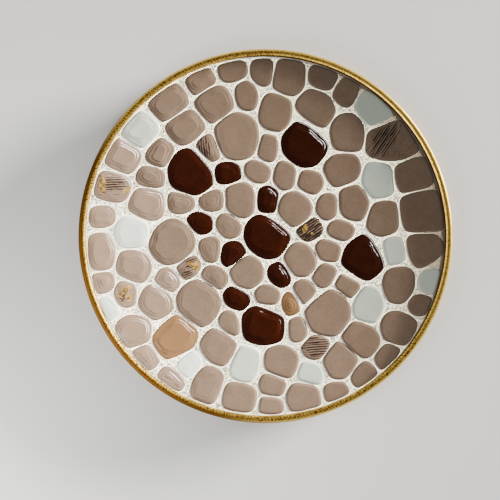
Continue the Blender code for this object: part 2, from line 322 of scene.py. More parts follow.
def new_group(name, inputs, outputs):
    group = bpy.data.node_groups.new(name, "ShaderNodeTree")
    for socket, kind, default in inputs:
        made = group.interface.new_socket(name=socket, in_out="INPUT", socket_type=kind)
        made.default_value = default
    for socket, kind in outputs:
        group.interface.new_socket(name=socket, in_out="OUTPUT", socket_type=kind)
    start = group.nodes.new("NodeGroupInput")
    end = group.nodes.new("NodeGroupOutput")
    return group, start.outputs, end.inputs


def mix_colour(tree, factor, a, b):
    node = add_node(tree, "ShaderNodeMix", data_type="RGBA")
    for socket, value in ((0, factor), (6, a), (7, b)):
        if isinstance(value, bpy.types.NodeSocket):
            tree.links.new(value, node.inputs[socket])
        else:
            node.inputs[socket].default_value = value
    return node.outputs[2]


def maths(tree, operation, *values):
    node = add_node(tree, "ShaderNodeMath", dict(enumerate(values)), operation=operation)
    return node.outputs[0]


def map_range(tree, value, low, high, to_low=0.0, to_high=1.0):
    node = add_node(tree, "ShaderNodeMapRange", {"Value": value, "From Min": low, "From Max": high,
                                                 "To Min": to_low, "To Max": to_high},
                    interpolation_type="SMOOTHSTEP")
    return node.outputs[0]


def attribute(tree, name):
    return add_node(tree, "ShaderNodeAttribute", attribute_name=name)


def patches_group():
    """Cloudy patches on any surface: a mask whose size and contrast each material sets."""
    group, given, made = new_group(
        "Cloudy Patches",
        [("Scale", "NodeSocketFloat", 100.0), ("Detail", "NodeSocketFloat", 4.0),
         ("Low", "NodeSocketFloat", 0.35), ("High", "NodeSocketFloat", 0.65)],
        [("Mask", "NodeSocketFloat")])
    place = add_node(group, "ShaderNodeTexCoord").outputs["Object"]
    cloud = add_node(group, "ShaderNodeTexNoise", {"Vector": place, "Scale": given["Scale"],
                                                   "Detail": given["Detail"]})
    group.links.new(map_range(group, cloud.outputs[0], given["Low"], given["High"]), made["Mask"])
    return group


def glaze_group(patches):
    """Glaze over clay: thin and darker at the tile's edge, where painted shade darkens it too, mottled, with
    fine dark specks, and scaled by each tile's tone and painted light.
    """
    group, given, made = new_group(
        "Pooled Glaze",
        [("Colour", "NodeSocketColor", (1, 1, 1, 1)), ("Edge Colour", "NodeSocketColor", (0, 0, 0, 1)),
         ("Edge Width", "NodeSocketFloat", 1.2), ("Mottle", "NodeSocketFloat", 0.2),
         ("Specks", "NodeSocketFloat", 0.2), ("Roughness", "NodeSocketFloat", 0.15)],
        [("Colour", "NodeSocketColor"), ("Roughness", "NodeSocketFloat"), ("Height", "NodeSocketFloat")])
    edge = attribute(group, "edge_mm").outputs["Fac"]
    tone_and_light = attribute(group, "tone_and_light").outputs["Fac"]
    cloud = add_node(group, "ShaderNodeGroup", node_tree=patches)
    cloud.inputs["Scale"].default_value = 130.0
    cloud.inputs["Detail"].default_value = 5.0
    fine = add_node(group, "ShaderNodeGroup", node_tree=patches)
    fine.inputs["Scale"].default_value = 620.0
    fine.inputs["Detail"].default_value = 3.0
    lift = maths(group, "MULTIPLY_ADD", cloud.outputs[0], 0.4, maths(group, "MULTIPLY", fine.outputs[0], 0.6))
    lift = maths(group, "SUBTRACT", lift, 0.5)
    lift = maths(group, "MULTIPLY_ADD", lift, given["Mottle"], 1.0)
    # Scaled by the tile's own tone and the painted light and shade of its place
    lift = maths(group, "MULTIPLY", lift, tone_and_light)
    scaled = add_node(group, "ShaderNodeVectorMath", {0: given["Colour"]}, operation="SCALE")
    group.links.new(lift, scaled.inputs["Scale"])
    # The darker edge is thin glaze and painted shade along the tile's edge
    thin_and_shaded_edge = maths(group, "SUBTRACT", 1.0, map_range(group, edge, 0.1, given["Edge Width"]))
    body = mix_colour(group, thin_and_shaded_edge, scaled.outputs[0], given["Edge Colour"])
    place = add_node(group, "ShaderNodeTexCoord").outputs["Object"]
    grit = add_node(group, "ShaderNodeTexVoronoi", {"Vector": place, "Scale": 700.0})
    speck = maths(group, "SUBTRACT", 1.0, map_range(group, grit.outputs["Distance"], 0.05, 0.22))
    speck = maths(group, "MULTIPLY", speck, given["Specks"])
    body = mix_colour(group, speck, body, (0.10, 0.06, 0.04, 1))
    group.links.new(body, made["Colour"])
    gloss = maths(group, "MULTIPLY_ADD", cloud.outputs[0], 0.02, given["Roughness"])
    group.links.new(gloss, made["Roughness"])
    wave = add_node(group, "ShaderNodeTexNoise", {"Vector": place, "Scale": 260.0, "Detail": 2.0})
    group.links.new(wave.outputs[0], made["Height"])
    return group


def strokes_group():
    """Brushed dark strokes that run along a tile's brush direction, where the tile carries them."""
    group, given, made = new_group(
        "Brushed Strokes",
        [("Colour", "NodeSocketColor", (1, 1, 1, 1)), ("Stroke Colour", "NodeSocketColor", (0, 0, 0, 1)),
         ("Amount", "NodeSocketFloat", 0.88)],
        [("Colour", "NodeSocketColor"), ("Mask", "NodeSocketFloat")])
    place = attribute(group, "brush").outputs["Vector"]
    breaks = add_node(group, "ShaderNodeTexNoise", {"Vector": place, "Scale": 1.0, "Detail": 4.0}).outputs[0]
    across = add_node(group, "ShaderNodeSeparateXYZ", {"Vector": place}).outputs["Y"]
    bristle = maths(group, "MULTIPLY_ADD", breaks, 1.1, across)
    bristle = maths(group, "SINE", maths(group, "MULTIPLY", bristle, math.tau))
    carried = attribute(group, "stroke").outputs["Fac"]
    level = maths(group, "MULTIPLY_ADD", bristle, 0.22, breaks)
    level = maths(group, "MULTIPLY_ADD", carried, 0.38, level)
    mask = maths(group, "MULTIPLY", map_range(group, level, 0.80, 0.92), given["Amount"])
    group.links.new(mix_colour(group, mask, given["Colour"], given["Stroke Colour"]), made["Colour"])
    group.links.new(mask, made["Mask"])
    return group


def new_material(name):
    material = bpy.data.materials.new(name)
    material.use_nodes = True
    tree = material.node_tree
    return material, tree, tree.nodes["Principled BSDF"]


def bump(tree, shader, height, strength, distance):
    node = add_node(tree, "ShaderNodeBump", {"Strength": strength, "Distance": distance, "Height": height})
    tree.links.new(node.outputs[0], shader.inputs["Normal"])


def rgba(values, scale=1.0):
    return tuple(channel * scale for channel in values) + (1.0,)


def glaze_material(name, group, base, edge_scale, mottle, specks, roughness):
    material, tree, shader = new_material(name)
    glaze = add_node(tree, "ShaderNodeGroup", {}, node_tree=group)
    for socket, value in (("Colour", rgba(base)), ("Edge Colour", rgba(base, edge_scale)), ("Mottle", mottle),
                          ("Specks", specks), ("Roughness", roughness)):
        glaze.inputs[socket].default_value = value
    tree.links.new(glaze.outputs["Colour"], shader.inputs["Base Color"])
    tree.links.new(glaze.outputs["Roughness"], shader.inputs["Roughness"])
    bump(tree, shader, glaze.outputs["Height"], 0.1, 0.1 * MM)
    shader.inputs["Coat Weight"].default_value = 0.6
    shader.inputs["Coat Roughness"].default_value = 0.06
    return material


def lustre_material(name, group, strokes, base, gold):
    """Beige glaze with dark brushed strokes and splashes of gold."""
    material, tree, shader = new_material(name)
    glaze = add_node(tree, "ShaderNodeGroup", {}, node_tree=group)
    # The edge is half as bright: thin glaze and painted edge shade
    for socket, value in (("Colour", rgba(base)), ("Edge Colour", rgba(base, 0.5)), ("Mottle", 0.35),
                          ("Specks", 0.5), ("Roughness", 0.12)):
        glaze.inputs[socket].default_value = value
    dark = add_node(tree, "ShaderNodeGroup", {"Colour": glaze.outputs["Colour"]}, node_tree=strokes)
    dark.inputs["Stroke Colour"].default_value = (0.005, 0.0025, 0.0020, 1)
    place = add_node(tree, "ShaderNodeTexCoord").outputs["Object"]
    crackle = add_node(tree, "ShaderNodeTexNoise", {"Vector": place, "Scale": 420.0, "Detail": 4.0})
    carried = attribute(tree, "gold").outputs["Fac"]
    level = maths(tree, "MULTIPLY_ADD", carried, 0.5, crackle.outputs[0])
    splash = map_range(tree, level, 0.76, 0.90)
    leaf = mix_colour(tree, map_range(tree, crackle.outputs[0], 0.42, 0.6), rgba(gold, 0.3), rgba(gold))
    gilt = mix_colour(tree, splash, dark.outputs["Colour"], leaf)
    tree.links.new(gilt, shader.inputs["Base Color"])
    tree.links.new(maths(tree, "MULTIPLY", splash, 0.45), shader.inputs["Metallic"])
    tree.links.new(glaze.outputs["Roughness"], shader.inputs["Roughness"])
    bump(tree, shader, maths(tree, "ADD", crackle.outputs[0], glaze.outputs["Height"]), 0.2, 0.15 * MM)
    shader.inputs["Coat Weight"].default_value = 0.4
    shader.inputs["Coat Roughness"].default_value = 0.04
    return material


def grout_material(look, patches):
    """Cement grout: clean by the tiles, rough and pitted in the wide joints, with painted shade in the pits
    and a painted shadow of the wall on the right.
    """
    material, tree, shader = new_material("white_grout")
    wide = attribute(tree, "wide").outputs["Fac"]
    place = add_node(tree, "ShaderNodeTexCoord").outputs["Object"]
    sand = add_node(tree, "ShaderNodeTexNoise", {"Vector": place, "Scale": 900.0, "Detail": 3.0})
    crumbs = add_node(tree, "ShaderNodeTexNoise", {"Vector": place, "Scale": 420.0, "Detail": 4.0})
    cloud = add_node(tree, "ShaderNodeGroup", node_tree=patches)
    cloud.inputs["Scale"].default_value = 750.0
    cloud.inputs["Low"].default_value = 0.40
    cloud.inputs["High"].default_value = 0.60
    # Painted shade in the pits of the wide joints
    pits = maths(tree, "MULTIPLY", cloud.outputs[0], map_range(tree, wide, 0.0, 0.6))
    body = mix_colour(tree, pits, rgba(look.paste), rgba(look.pit_shade))
    # Painted shadow of the right-hand wall, darkest by the wall
    body = mix_colour(tree, attribute(tree, "wall_shadow").outputs["Fac"], body, rgba(look.wall_shadow))
    tree.links.new(body, shader.inputs["Base Color"])
    shader.inputs["Roughness"].default_value = 0.9
    shader.inputs["Specular IOR Level"].default_value = 0.3
    grain = maths(tree, "MULTIPLY_ADD", sand.outputs[0], 0.4, crumbs.outputs[0])
    grain = maths(tree, "MULTIPLY", grain, map_range(tree, wide, 0.0, 1.0, 0.3, 1.0))
    bump(tree, shader, grain, 0.9, 0.6 * MM)
    return material


def brass_material(look, patches):
    """Brass that is tarnished, and darkened with painted shade, where the mesh says so, and tarnished a
    little in cloudy patches.
    """
    material, tree, shader = new_material("rolled_brass")
    patina_and_shade = attribute(tree, "patina_and_shade").outputs["Fac"]
    cloud = add_node(tree, "ShaderNodeGroup", node_tree=patches)
    cloud.inputs["Scale"].default_value = 60.0
    cloud.inputs["Detail"].default_value = 6.0
    cloud.inputs["High"].default_value = 0.75
    # Tarnish and painted shade from the mesh, and tarnish in cloudy patches
    dull_and_shaded = maths(tree, "MAXIMUM", patina_and_shade, maths(tree, "MULTIPLY", cloud.outputs[0], 0.35))
    tree.links.new(mix_colour(tree, dull_and_shaded, rgba(look.brass), rgba(look.tarnish_and_shade)), shader.inputs["Base Color"])
    gloss = maths(tree, "MULTIPLY_ADD", dull_and_shaded, 0.2, look.roughness)
    tree.links.new(gloss, shader.inputs["Roughness"])
    shader.inputs["Metallic"].default_value = 1.0
    place = add_node(tree, "ShaderNodeTexCoord").outputs["Object"]
    scratch = add_node(tree, "ShaderNodeTexNoise", {"Vector": place, "Scale": 700.0, "Detail": 3.0})
    bump(tree, shader, scratch.outputs[0], 0.3, 0.1 * MM)
    return material


# Tray

def arc(x, z, half_width, half_height, start, end, steps):
    """Points of an elliptic arc, from one angle in degrees to another."""
    angles = np.radians(np.linspace(start, end, steps + 1))
    return np.stack([x + half_width * np.cos(angles), z + half_height * np.sin(angles)], axis=1)


# Knurling and flecks on the rim: mesh steps to a knurl, the flecks' size, rows and seed, how far the knurls
# lean and stray, and the shares of both in the depth
KNURL_STEPS = 5
FLECK_SIZE = 1.1 * MM
FLECK_ROWS = 3
FLECK_SEED = 4
KNURL_LEAN = 2.5 * math.pi
KNURL_STRAY = 2.2
KNURL_SHARE = 0.35
FLECK_SHARE = 1.3
# The side of the rim that the low light falls on
BRIGHT_SIDE = math.radians(25.0)


def tray_section(look, half_width):
    """The tray's section, from its underside out round the rim and down inside, and its knurled rows."""
    bend = look.floor_bend
    outer_bend = bend + SHEET
    half_height = look.rim_depth / 2
    centre = (INNER_RADIUS + half_width, DISH_HEIGHT - half_height)
    meets_wall = math.degrees(math.acos((SHEET - half_width) / half_width))
    under = arc(INNER_RADIUS + SHEET - outer_bend, outer_bend, outer_bend, outer_bend, -90, 0, 5)
    lip = arc(*centre, half_width, half_height, -meets_wall, 50, 9)
    band = arc(*centre, half_width, half_height, 55, 165, 14)
    top = arc(*centre, half_width, half_height, 172, 180, 1)
    inner = arc(INNER_RADIUS - bend, SHEET + bend, bend, bend, 0, -90, 4)
    first = len(under) + len(lip)
    return np.vstack([under, lip, band, top, inner]), slice(first, first + len(band))


def knurling(look, angles, rows, knurled):
    """How deep each point of the rim is pressed in, from 0 to 1, by leaning knurls and by flecks."""
    across = np.zeros(rows)
    across[knurled] = np.linspace(0, 1, knurled.stop - knurled.start)
    fade = np.zeros(rows)
    fade[knurled] = np.minimum(1, 4 * np.minimum(across[knurled], 1 - across[knurled]) + 0.15)
    noise.seed_set(FLECK_SEED)
    flecks = np.zeros((rows, len(angles), 3))
    for i, row in enumerate(across * FLECK_ROWS):
        for j, turn in enumerate(angles):
            place = Vector((DISH_RADIUS * math.cos(turn), DISH_RADIUS * math.sin(turn), row * FLECK_SIZE))
            flecks[i, j] = noise.noise_vector(place / FLECK_SIZE)
    phase = angles[None, :] * look.knurl_count + KNURL_STRAY * flecks[..., 1]
    knurls = 0.5 - 0.5 * np.cos(phase + across[:, None] * KNURL_LEAN)
    pressed = np.clip(KNURL_SHARE * knurls + FLECK_SHARE * np.abs(flecks[..., 0]), 0, 1)
    return pressed * fade[:, None]


def tarnish_and_shade(out, angles, pressed):
    """How dark the brass is, where out runs from -1 at the rim's inner edge to 1 at its outer edge: tarnish
    in the knurling, painted light that fades it on the lit side, and painted shade at the outer edge, over
    the outer side on the left, and along the inner edge on the right."""
    bright = np.cos(angles - BRIGHT_SIDE)
    # Tarnish in the knurling, faded where the low light falls: painted light
    knurls = pressed * (1 - 0.5 * smoothstep(bright, 0.3, 0.95))
    # Painted shade at the outer edge, more on the left
    flank = smoothstep(out, 0.45, 0.85) * (0.2 + 0.5 * smoothstep(-bright, -0.3, 0.8))
    # Painted shadow along the inner edge on the right
    inner_line = smoothstep(-out, 0.72, 0.95) * smoothstep(bright, -0.1, 0.7)
    # Painted shade over the outer side on the left
    outer_side = 0.8 * smoothstep(out, -0.5, 0) * smoothstep(-bright, 0.1, 0.9)
    dull_and_shaded = np.maximum.reduce([knurls, flank, inner_line, outer_side])
    return smoothstep(dull_and_shaded, 0.12, 0.65)


def tray_piece(look):
    """The tray's closed mesh, turned from its section, and how much tarnish and painted shade each point has.
    """
    half_width = (DISH_RADIUS - INNER_RADIUS) / 2
    section, knurled = tray_section(look, half_width)
    rows = len(section)
    steps = look.knurl_count * KNURL_STEPS
    angles = np.arange(steps) * 2 * math.pi / steps
    pressed = knurling(look, angles, rows, knurled)
    depth = pressed * look.knurl_depth
    normal = np.gradient(section, axis=0)
    normal = np.stack([normal[:, 1], -normal[:, 0]], axis=1)
    normal /= np.linalg.norm(normal, axis=1)[:, None]
    radius = section[:, 0][:, None] - normal[:, 0][:, None] * depth
    height = section[:, 1][:, None] - normal[:, 1][:, None] * depth
    rings = np.stack([radius * np.cos(angles), radius * np.sin(angles), height], axis=-1)
    points = np.vstack([rings.reshape(-1, 3), [[0, 0, 0], [0, 0, SHEET]]])
    faces = grid_faces(rows, steps)
    last = (rows - 1) * steps
    for i in range(steps):
        after = (i + 1) % steps
        faces.append([rows * steps, after, i])
        faces.append([rows * steps + 1, last + i, last + after])
    out = (section[:, 0] - INNER_RADIUS - half_width)[:, None] / half_width
    return points, faces, np.append(tarnish_and_shade(out, angles, pressed).ravel(), [0, 0])


class MOSAIC_OT_add_tray(bpy.types.Operator):
    """Adds the brass tray with its knurled rim"""
    bl_idname = "mosaic.add_tray"
    bl_label = "Add Tray"

    def execute(self, context):
        look = context.scene.mosaic_tray
        points, faces, dull_and_shaded = tray_piece(look)
        material = brass_material(look, bpy.data.node_groups.get("Cloudy Patches") or patches_group())
        piece = make_piece("knurled_tray", points, faces, material, [TRAY_NODE])
        # How much tarnish and painted shade lies on each point of the rim
        store(piece, "patina_and_shade", dull_and_shaded)
        return {"FINISHED"}


# Grout

# The grout's surface: points along each side of its grid, the size of its lumps, and how far from a tile
# its joint begins to count as wide and counts as wide all over
GROUT_GRID = 300
CRUMB_SIZE = 2.4 * MM
WIDE_FROM = 0.3 * MM
WIDE_AT = 1.5 * MM
# The side where the wall's shadow is painted on the grout
WALL_SHADOW_SIDE = math.radians(22.0)


def disc_points(count):
    """A square grid of points pressed into a round disc of radius 1."""
    line = np.linspace(-1, 1, count)
    x, y = np.meshgrid(line, line)
    sideways = np.abs(x) > np.abs(y)
    safe_x = np.where(sideways, x, 1)
    safe_y = np.where(sideways | (y == 0), 1, y)
    radius = np.where(sideways, x, y)
    angle = np.where(sideways, math.pi / 4 * y / safe_x, math.pi / 2 - math.pi / 4 * x / safe_y)
    return np.stack([radius * np.cos(angle), radius * np.sin(angle)], axis=-1).reshape(-1, 2)


def joint_distance(points, outlines):
    """Distance from each point to the nearest tile's outline, less than zero inside a tile."""
    found = np.full(len(points), 1.0)
    for outline in outlines:
        middle = outline.mean(axis=0)
        offset = points - middle
        reach = np.hypot(offset[:, 0], offset[:, 1])
        spokes = outline - middle
        near = reach < np.hypot(spokes[:, 0], spokes[:, 1]).max() + 10 * MM
        local = offset[near]
        gap = np.linalg.norm(local[:, None] - spokes[None], axis=2).min(axis=1)
        turns = np.arctan2(spokes[:, 1], spokes[:, 0])
        order = np.argsort(turns)
        edge = np.interp(np.arctan2(local[:, 1], local[:, 0]), turns[order],
                         np.hypot(spokes[:, 0], spokes[:, 1])[order], period=2 * math.pi)
        gap[reach[near] < edge] *= -1
        found[near] = np.minimum(found[near], gap)
    return found


def grout_piece(look, spread):
    """The grout's closed mesh, a little below the tiles' edges, and how wide the joint is at each point."""
    flat = disc_points(GROUT_GRID) * BED_RADIUS
    outlines = [spread_outline(tile.corners, OUTLINE_POINTS, spread) for tile in TILES]
    to_wall = BED_RADIUS - np.hypot(flat[:, 0], flat[:, 1])
    beside = np.clip(joint_distance(flat, outlines), 0, to_wall)
    wide = smoothstep(beside, WIDE_FROM, WIDE_AT)
    crumbs = np.array([noise.fractal(Vector((x, y, 0)) / CRUMB_SIZE, 0.7, 2.0, 3) for x, y in flat])
    height = SHOULDER - look.recess - look.sag * wide + crumbs * look.pit_depth * wide
    points = np.column_stack([flat, height + dish_rise(flat)])
    index = np.arange(GROUT_GRID ** 2).reshape(GROUT_GRID, GROUT_GRID)
    faces = np.stack([index[:-1, :-1], index[:-1, 1:], index[1:, 1:], index[1:, :-1]], axis=-1)
    faces = faces.reshape(-1, 4).tolist()
    border = np.concatenate([index[0, :-1], index[:-1, -1], index[-1, :0:-1], index[:0:-1, 0]])
    foot = points[border] * [1, 1, 0] + [0, 0, BED_BOTTOM]
    below = len(points) + np.arange(len(border))
    points = np.vstack([points, foot])
    for i in range(len(border)):
        after = (i + 1) % len(border)
        faces.append([int(border[i]), int(border[after]), int(below[after]), int(below[i])])
    faces.append(below.tolist())
    return points, faces, np.append(wide, np.zeros(len(border)))


def wall_shadow(points):
    """How much painted shadow of the wall lies on the grout: on the right alone, a little at first and much
    more by the wall.
    """
    radius = np.hypot(points[:, 0], points[:, 1])
    outwards = 0.26 * smoothstep(radius, 70 * MM, 112 * MM) + 0.74 * smoothstep(radius, 108 * MM, 138 * MM)
    toward = np.cos(np.arctan2(points[:, 1], points[:, 0]) - WALL_SHADOW_SIDE)
    return outwards * smoothstep(toward, 0.1, 0.95)


class MOSAIC_OT_add_grout(bpy.types.Operator):
    """Adds the rough grout between the tiles"""
    bl_idname = "mosaic.add_grout"
    bl_label = "Add Grout"

    def execute(self, context):
        look = context.scene.mosaic_grout
        points, faces, wide = grout_piece(look, context.scene.mosaic_tiles.spread)
        material = grout_material(look, bpy.data.node_groups.get("Cloudy Patches") or patches_group())
        piece = make_piece("rough_grout", points, faces, material, [BED_NODE])
        store(piece, "wide", wide)
        # Painted shadow of the wall on the grout
        store(piece, "wall_shadow", wall_shadow(points))
        return {"FINISHED"}


# Tiles

# Marks of the lustre tiles, in millimetres: a place on the tile, the turn of its brush strokes in degrees,
# then its patches of dark strokes and of gold as (x, y, half length, half width, turn in degrees, strength)
LUSTRE_MARKS = [
    ((-46, 70), 96, [(-50, 70, 13, 7, 96, 1.2)], []),
    ((99, 76), 56, [(95, 77, 20, 11, 56, 1.1), (100, 80, 14, 4, 56, 1.2)], []),
    ((-123, 40), 2, [(-122, 42, 14, 8, 0, 1.3), (-131, 40, 10, 5, 90, 0.9)],
     [(-131, 41, 10, 3.4, 90, 1.3), (-111, 37, 5, 2.6, 30, 1.3)]),
    ((36, 5.5), 35, [(36, 5.5, 30, 28, 35, 1.5)], [(32, 6, 5.5, 2.8, 60, 1.3), (38, 2, 2, 1.5, 0, 1)]),
    ((-61.8, -25.4), 20, [(-59, -22, 8, 6, 20, 1.3), (-62, -31, 7, 4, 0, 1.1)],
     [(-56, -24, 6, 3, 80, 1.3), (-60, -22, 4, 3, 0, 1.1)]),
    ((-112.5, -46), 40, [(-113, -47, 8, 6, 40, 1.0)],
     [(-112, -43, 6, 3, 40, 1.3), (-110, -49, 5, 3, 120, 1.2), (-116, -47, 5, 2.5, 60, 1.2)]),
    ((40, -88.7), 4, [(41, -89, 14, 11, 4, 1.2), (42, -95, 9, 5, 4, 1.2)], []),
]


def patch_mask(points, patches):
    """How strongly oval patches cover each point, from 0 outside to 1 in their middle."""
    mask = np.zeros(len(points))
    for x, y, half_length, half_width, turn, strength in patches:
        cos, sin = math.cos(math.radians(turn)), math.sin(math.radians(turn))
        offset = points / MM - [x, y]
        along = (offset[:, 0] * cos + offset[:, 1] * sin) / half_length
        across = (offset[:, 1] * cos - offset[:, 0] * sin) / half_width
        mask = np.maximum(mask, strength * (1 - np.minimum(along ** 2 + across ** 2, 1)))
    return mask


def edge_depth(points, outline):
    """Distance from each point inside an outline to its nearest side."""
    side = np.roll(outline, -1, axis=0) - outline
    offset = points[:, None] - outline[None]
    along = np.clip((offset * side).sum(axis=2) / (side ** 2).sum(axis=1), 0, 1)
    return np.linalg.norm(offset - along[..., None] * side, axis=2).min(axis=1)


def soft_depth(points, outline):
    """Like the distance to the outline, but rounded off at its corners."""
    power = 5
    side = np.linalg.norm(np.roll(outline, -1, axis=0) - outline, axis=1)
    gap = np.linalg.norm(points[:, None] - outline[None], axis=2)
    gap = np.maximum(gap, 0.5 * MM)
    span = math.sqrt(math.pi) * math.gamma((power - 1) / 2) / math.gamma(power / 2)
    return ((side * gap ** -power).sum(axis=1) / span) ** (-1 / (power - 1))


# How pale the tiles are on the whole, by how much painted light and shade change that from the middle to the
# rim, and the direction in which the painted shade makes them darker
BASE_TONE = 0.95
PAINTED_LIGHT_CHANGE = 0.16
PAINTED_SHADE_SIDE = math.radians(46.0)

# Rings of points on a tile: the depths of those along its rounded edge, and how many lie further in
EDGE_DEPTHS = np.array([0, 0.05, 0.13, 0.26, 0.45, 0.7, 1.0, 1.35, 1.75, 2.2, 2.7]) * MM
INNER_RINGS = 26

# Tiles that reach less far from their middle get two thirds of the points round them
SMALL_REACH = 11.5 * MM
RIPPLE_SIZE = 8 * MM
RIPPLE_HEIGHT = 0.02 * MM


def painted_light_tone(tile):
    """How pale a tile is painted by the light on it: the left and lower ones lit paler, the right and upper
    ones shaded darker.
    """
    x, y = tile.middle / BED_RADIUS
    return BASE_TONE - PAINTED_LIGHT_CHANGE * (x * math.cos(PAINTED_SHADE_SIDE) + y * math.sin(PAINTED_SHADE_SIDE))


def pooling(tile):
    """How thickly the glaze has pooled on a tile: on the dark ones, and more and more towards the left."""
    if tile.glaze in ("brown", "tan"):
        return 1.0
    thick = 0.12 + 0.95 * smoothstep(-tile.middle[0], 10 * MM, 95 * MM)
    return thick * 0.6 if tile.glaze == "white" else thick


def tile_piece(tile, look):
    """A tile's closed mesh: a wall, a rounded edge, and the glaze pooled a little higher in the middle."""
    reach = np.linalg.norm(tile.corners - tile.middle, axis=1).mean()
    count = look.around if reach > SMALL_REACH else look.around * 2 // 3
    outline = spread_outline(tile.corners, count, look.spread)
    middle = outline.mean(axis=0)
    spokes = middle - outline
    lengths = np.linalg.norm(spokes, axis=1)[:, None]
    tangent = np.roll(outline, -1, axis=0) - np.roll(outline, 1, axis=0)
    inward = np.stack([-tangent[:, 1], tangent[:, 0]], axis=1) / np.linalg.norm(tangent, axis=1)[:, None]
    square = np.maximum((inward * spokes).sum(axis=1)[:, None] / lengths, 0.5)
    rings = [outline + spokes / lengths * depth / square for depth in EDGE_DEPTHS]
    inner = rings[-1]
    rings += [inner + (middle - inner) * step for step in np.linspace(0, 1, INNER_RINGS + 2)[1:-1] ** 1.5]
    flat = np.vstack(rings + [middle[None]])
    edge = edge_depth(flat, outline)
    soft = soft_depth(flat, outline)
    chance = np.random.default_rng(tile.seed)
    tilt = chance.uniform(-1, 1, 2) * math.tan(look.tilt)
    pool = look.pool_rise * chance.uniform(0.7, 1.15) * pooling(tile)
    start = look.pool_start * chance.uniform(0.85, 1.25)
    inside = np.minimum(edge / look.rounding, 1)
    ripple = np.array([noise.noise(Vector((x, y, tile.seed * 0.01)) / RIPPLE_SIZE) for x, y in flat])
    rise = (soft - start + look.wander * ripple) / look.pool_width
    steps = np.clip(rise, 0, 1) + np.clip(rise - 2, 0, 1)
    height = SHOULDER + (TILE_TOP - SHOULDER - pool) * np.sqrt(1 - (1 - inside) ** 2) + pool * steps / 2
    height += (ripple * RIPPLE_HEIGHT + (flat - middle) @ tilt) * inside + dish_rise(flat)
    foot = np.column_stack([outline, np.full(count, BED_BOTTOM)])
    points = np.vstack([foot, np.column_stack([flat, height])])
    rows = len(rings) + 1
    faces = grid_faces(rows, count)
    last = (rows - 1) * count
    faces += [[last + i, last + (i + 1) % count, rows * count] for i in range(count)]
    faces.append(list(range(count))[::-1])
    return points, faces, np.concatenate([np.zeros(count), edge / MM])


def add_marks(piece, tile, points):
    """Where a lustre tile carries dark strokes and gold, and the direction of its brush."""
    found = min(LUSTRE_MARKS, key=lambda mark: np.hypot(*(tile.middle / MM - mark[0])))
    place, turn, strokes, gold = found
    flat = points[:, :2]
    store(piece, "stroke", patch_mask(flat, strokes))
    store(piece, "gold", patch_mask(flat, gold))
    cos, sin = math.cos(math.radians(turn)), math.sin(math.radians(turn))
    offset = flat / MM - place
    along = offset[:, 0] * cos + offset[:, 1] * sin
    across = offset[:, 1] * cos - offset[:, 0] * sin
    brush = np.column_stack([along / 9, across / 1.9, np.full(len(flat), float(tile.seed))])
    made = piece.data.attributes.new("brush", "FLOAT_VECTOR", "POINT")
    made.data.foreach_set("vector", brush.astype(np.float32).ravel())


class MOSAIC_OT_add_tiles(bpy.types.Operator):
    """Adds every glazed tile of the mosaic"""
    bl_idname = "mosaic.add_tiles"
    bl_label = "Add Tiles"

    def execute(self, context):
        look = context.scene.mosaic_tiles
        glaze = glaze_group(bpy.data.node_groups.get("Cloudy Patches") or patches_group())
        # After each colour: how dark the edge is beside it, from thin glaze and painted edge shade, then the
        # mottle, specks and roughness
        materials = {
            "beige": glaze_material("beige_glaze", glaze, look.beige, 0.60, 0.18, 0.14, 0.13),
            "white": glaze_material("white_glaze", glaze, look.white, 0.78, 0.05, 0.02, 0.10),
            "brown": glaze_material("brown_glaze", glaze, look.brown, 0.35, 0.4, 0.0, 0.06),
            "tan": glaze_material("tan_glaze", glaze, look.tan, 0.7, 0.15, 0.1, 0.10),
            "lustre": lustre_material("lustre_glaze", glaze, strokes_group(), look.beige, look.gold),
        }
        for tile in TILES:
            points, faces, edge = tile_piece(tile, look)
            material = materials[tile.glaze]
            piece = make_piece(tile.name, points, faces, material, [tile.node])
            store(piece, "edge_mm", edge)
            # Each tile's own tone differs at random; the painted light and shade of its place on the dish
            # scale it
            tone_and_light = np.random.default_rng(tile.seed + 500).uniform(0.95, 1.05) * painted_light_tone(tile)
            store(piece, "tone_and_light", np.full(len(points), tone_and_light))
            if tile.glaze == "lustre":
                add_marks(piece, tile, points)
        return {"FINISHED"}


# Stage

# The photograph's frame is 500 pixels square: its focal length in pixels, and the dish's middle there
FRAME_PIXELS = 500
FOCAL_PIXELS = 1082.0
DISH_MIDDLE_X = 265.5
DISH_MIDDLE_Y = 236.0
CAMERA_HEIGHT = 0.8779

# Where the lights stand and what they point at, in metres; the low lights stand this far from the middle
MIDDLE = (0, 0, 0)
LOW_DISTANCE = 6.0
FILL_PLACE = (-0.30, -0.21, 0.22)
FILL_TARGET = (-0.05, -0.04, 0)
STRIP_PLACE = (0.46, 0.30, 1.10)
GLEAM_PLACE = (0.29, 0.24, 1.10)
GLEAM_TARGET = (-0.11, -0.02, 0)
WINDOW_PLACE = (0.90, 0.50, 0.62)
WINDOW_TARGET = (-0.12, -0.04, 0)
WINDOW_SPREAD = math.radians(34.0)

# The left tiles are those that lie this far along this direction
LEFTWARDS = (-0.85, -0.25)
LEFT_FROM = 70 * MM
FLOOR_SIZE = 10.0


def add_area_light(name, place, target, power, size, size_y, tint, spread=math.pi):
    data = bpy.data.lights.new(name, "AREA")
    data.shape = "RECTANGLE"
    data.spread = spread
    data.size = size
    data.size_y = size_y
    data.energy = power
    data.color = tint
    light = bpy.data.objects.new(name, data)
    light.location = place
    light.rotation_mode = "QUATERNION"
    light.rotation_quaternion = (Vector(place) - Vector(target)).to_track_quat("Z", "Y")
    light.visible_camera = False
    bpy.context.scene.collection.objects.link(light)
    return light


